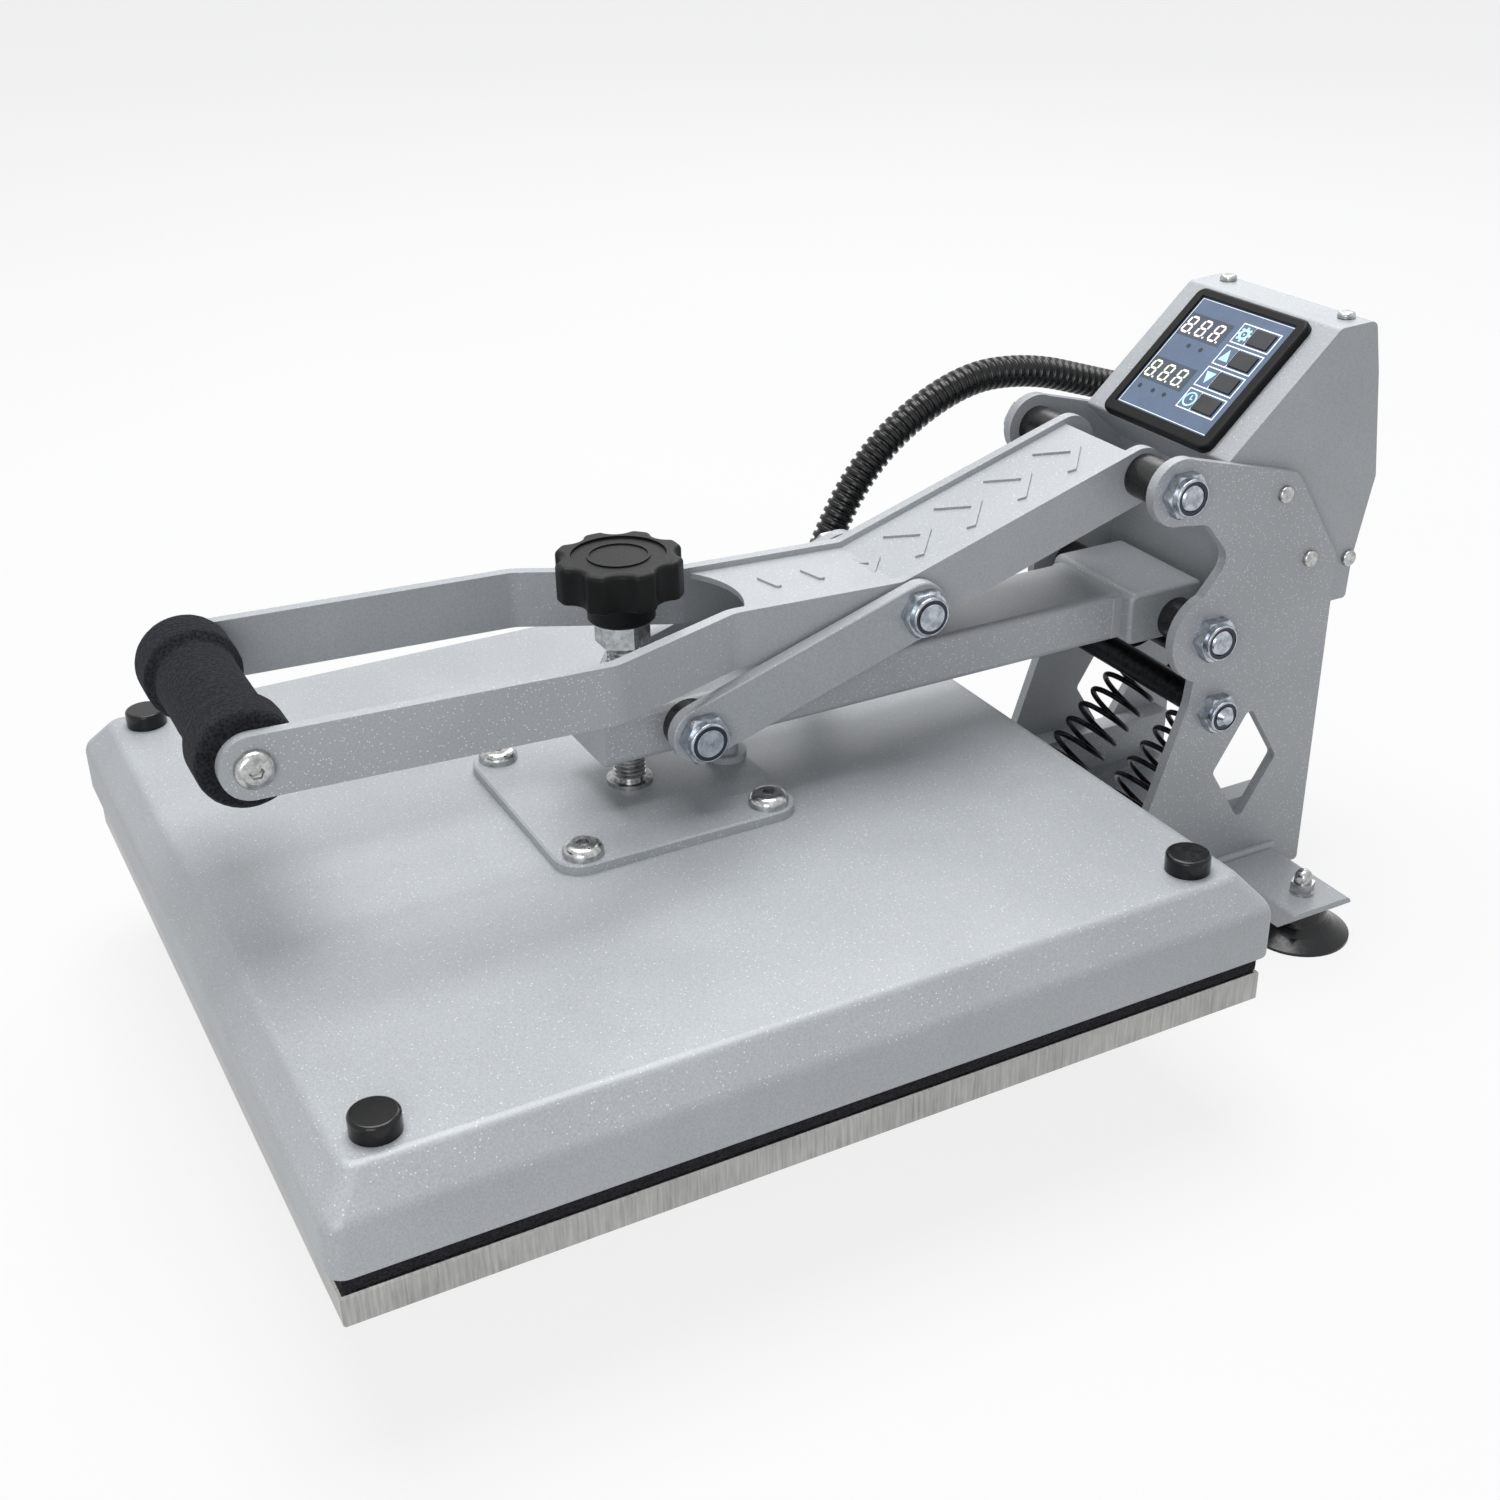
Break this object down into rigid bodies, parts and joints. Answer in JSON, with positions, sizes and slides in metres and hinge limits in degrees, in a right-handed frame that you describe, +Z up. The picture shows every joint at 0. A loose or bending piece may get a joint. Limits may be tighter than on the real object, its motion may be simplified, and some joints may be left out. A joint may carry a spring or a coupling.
{
  "type": "clamshell heat press",
  "caption": "Flat clamshell heat press: square platens, toggle handle with foam grip, pressure knob, control box and ribbed hose.",
  "frame": {"origin": "centre of the bottom of the bounding box, on the bench plane under the feet", "axes": "+X to the operator's right, +Y to the rear where the control box stands, +Z up; the press is closed at rest"},
  "size_m": [0.386, 0.5572, 0.2802],
  "materials": {
    "powder_coat_silver": "fine metallic powder coat",
    "brushed_aluminium": "brushed",
    "cast_aluminium": "ground flat",
    "zinc_bright": "bright zinc plate",
    "stainless": "turned stainless",
    "black_steel": "black oxide",
    "rubber_black": "gloss moulded rubber",
    "foam_black": "open foam",
    "silicone_black": "silicone sponge",
    "nylon_black": "moulded nylon",
    "nylon_blue": "nylon insert",
    "plastic_black": "moulded",
    "plastic_matte_black": "moulded, fine texture",
    "display_blue": "printed overlay",
    "circuit_green": "solder mask",
    "blanket_white": "ceramic fibre",
    "brass": "turned brass"
  },
  "bodies": {
    "base": {"rubber_feet": "rubber_black", "foot_studs": "stainless", "crossmembers": "powder_coat_silver", "side_plate_right": "powder_coat_silver", "side_plate_left": "powder_coat_silver", "base_rails": "powder_coat_silver", "platen_screws": "stainless", "lower_platen": "brushed_aluminium", "silicone_pad": "silicone_black", "frame_bolts": "zinc_bright", "frame_nuts": "zinc_bright", "frame_nut_rings": "nylon_blue", "pivot_spacers": "nylon_black", "stop_sleeve": "black_steel", "spring_anchor": "black_steel", "control_box_shell": "powder_coat_silver", "control_box_rear": "powder_coat_silver", "box_screws": "stainless", "display_bezel": "plastic_matte_black", "display_window": "display_blue", "control_board": "circuit_green", "solid_state_relay": "plastic_matte_black", "power_inlet": "plastic_matte_black", "inlet_pins": "stainless", "hose_elbow": "plastic_black", "hose": "plastic_black", "spring_right": "black_steel", "spring_left": "black_steel"},
    "arm": {"lower_arm": "powder_coat_silver", "spring_crossbar": "black_steel", "spindle_bush": "brass", "link_pivot_bolt": "zinc_bright", "link_pivot_ring": "nylon_blue", "link_spacers": "nylon_black"},
    "links": {"link_right": "powder_coat_silver", "link_left": "powder_coat_silver", "toggle_bolts": "zinc_bright", "toggle_rings": "nylon_blue"},
    "handle": {"handle_bar_right": "powder_coat_silver", "handle_bar_left": "powder_coat_silver", "handle_cover": "powder_coat_silver", "toggle_pins": "zinc_bright", "foam_grip": "foam_black", "grip_rod": "zinc_bright", "grip_screws": "stainless"},
    "platen": {"platen_cover": "powder_coat_silver", "heating_platen": "cast_aluminium", "heating_element": "stainless", "platen_internals": "blanket_white", "cover_caps": "plastic_black", "mounting_plate": "powder_coat_silver", "plate_screws": "stainless", "cover_gland": "plastic_black"},
    "spindle": {"pressure_spindle": "stainless", "pressure_knob": "plastic_matte_black"},
    "key_timer": {"key_timer": "plastic_black"},
    "key_down": {"key_down": "plastic_black"},
    "key_up": {"key_up": "plastic_black"},
    "key_set": {"key_set": "plastic_black"},
    "rocker": {"power_rocker": "plastic_black"}
  },
  "joints": [
    {"name": "arm_hinge", "type": "hinge", "parent": "base", "child": "arm", "pos_m": [0, 0.18193, 0.145], "axis": [-1, 0, 0], "range_deg": [0, 45], "deforming": ["spring_right", "spring_left", "hose"]},
    {"name": "handle_hinge", "type": "hinge", "parent": "base", "child": "handle", "pos_m": [0, 0.15693, 0.2185], "axis": [-1, 0, 0], "range_deg": [0, 89.12]},
    {"name": "link_hinge", "type": "hinge", "parent": "arm", "child": "links", "pos_m": [0, -0.06657, 0.1494], "axis": [-1, 0, 0], "range_deg": [-34.43, 0]},
    {"name": "platen_slide", "type": "slide", "parent": "arm", "child": "platen", "axis": [0, 0, 1], "range_m": [0, 0.01], "deforming": ["hose"]},
    {"name": "spindle_turn", "type": "hinge", "parent": "platen", "child": "spindle", "pos_m": [0, -0.08357, 0.15], "axis": [0, 0, 1], "range_deg": [0, 1800]},
    {"name": "key_timer_press", "type": "slide", "parent": "base", "child": "key_timer", "axis": [0, 0.6704, -0.742], "range_m": [0, 0.0006], "stiffness_N_per_m": 900},
    {"name": "key_down_press", "type": "slide", "parent": "base", "child": "key_down", "axis": [0, 0.6704, -0.742], "range_m": [0, 0.0006], "stiffness_N_per_m": 900},
    {"name": "key_up_press", "type": "slide", "parent": "base", "child": "key_up", "axis": [0, 0.6704, -0.742], "range_m": [0, 0.0006], "stiffness_N_per_m": 900},
    {"name": "key_set_press", "type": "slide", "parent": "base", "child": "key_set", "axis": [0, 0.6704, -0.742], "range_m": [0, 0.0006], "stiffness_N_per_m": 900},
    {"name": "rocker_hinge", "type": "hinge", "parent": "base", "child": "rocker", "pos_m": [0.02, 0.26898, 0.185], "axis": [1, 0, 0], "range_deg": [0, 16]}
  ],
  "couplings": [
    {"joint": "handle_hinge", "follows": "arm_hinge", "ratio": 1.9804},
    {"joint": "link_hinge", "follows": "arm_hinge", "ratio": -0.7651},
    {"joint": "spindle_turn", "follows": "platen_slide", "rad_per_m": 3141.6}
  ]
}
